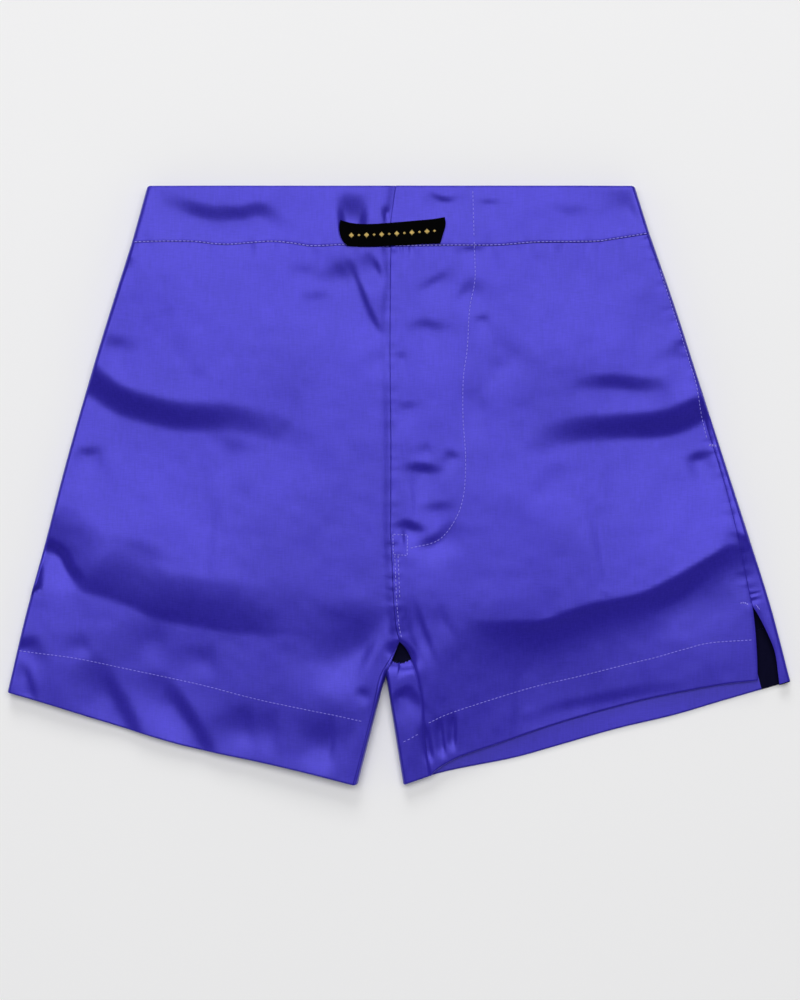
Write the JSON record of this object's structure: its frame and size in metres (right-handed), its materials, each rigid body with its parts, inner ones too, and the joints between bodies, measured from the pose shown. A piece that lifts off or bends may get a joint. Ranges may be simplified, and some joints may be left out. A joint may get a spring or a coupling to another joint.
{
  "type": "boxing shorts",
  "caption": "Satin shorts laid flat, with a concealed fly that folds open, side pockets, side vents, turned-up hems and a woven waist label.",
  "frame": {"origin": "middle of the footprint, on the surface that the garment lies on", "axes": "+X towards the wearer's left leg, +Y from the hems to the waistband, +Z out of the front of the garment"},
  "size_m": [0.5934, 0.4534, 0.0179],
  "materials": {
    "satin": "satin weave, glossy",
    "lining": "plain side of the satin, dull",
    "interlining": "fused canvas",
    "elastic": "ribbed woven elastic",
    "thread": "polyester thread",
    "label": "close damask weave",
    "care_label": "blank satin ribbon",
    "snap": "plated press stud"
  },
  "bodies": {
    "garment": {"back_panel_left": "satin", "back_panel_right": "satin", "care_label": "care_label", "fly_box_stitch": "thread", "fly_facing_base": "lining", "fly_j_stitch": "thread", "fly_shield": "satin", "front_panel_left": "satin", "front_panel_right": "satin", "hem_stitch_left": "thread", "hem_stitch_right": "thread", "interlining_left": "interlining", "interlining_right": "interlining", "pocket_bag_left_inner": "lining", "pocket_bag_left_outer": "lining", "pocket_bag_right_inner": "lining", "pocket_bag_right_outer": "lining", "pocket_bartack_left": "thread", "pocket_stitch_left": "thread", "rise_stitch": "thread", "snap_stud_fly_1": "snap", "snap_stud_fly_2": "snap", "snap_stud_fly_3": "snap", "snap_stud_waist": "snap", "vent_bartack_left": "thread", "waist_elastic": "elastic", "waist_stitch_left": "thread", "waist_stitch_right": "thread", "waistband_back": "satin", "waistband_front_left": "satin", "waistband_front_right": "satin"},
    "fly_flap": {"fly_facing": "lining", "fly_overlap": "satin", "interlining_overlap": "interlining", "snap_socket_fly_1": "snap", "snap_socket_fly_2": "snap", "snap_socket_fly_3": "snap", "snap_socket_waist": "snap", "waist_stitch_overlap": "thread", "waistband_overlap_end": "satin"},
    "label": {"woven_label": "label"}
  },
  "joints": [
    {"name": "fly_fold", "type": "hinge", "parent": "garment", "child": "fly_flap", "pos_m": [-0.00601, -0.03535, 0.017], "axis": [0.2232, 0.9748, 0], "range_deg": [0, 105]},
    {"name": "label_fold", "type": "hinge", "parent": "fly_flap", "child": "label", "pos_m": [-0.00601, 0.18315, 0.0179], "axis": [1, 0, 0], "range_deg": [0, 120]}
  ]
}
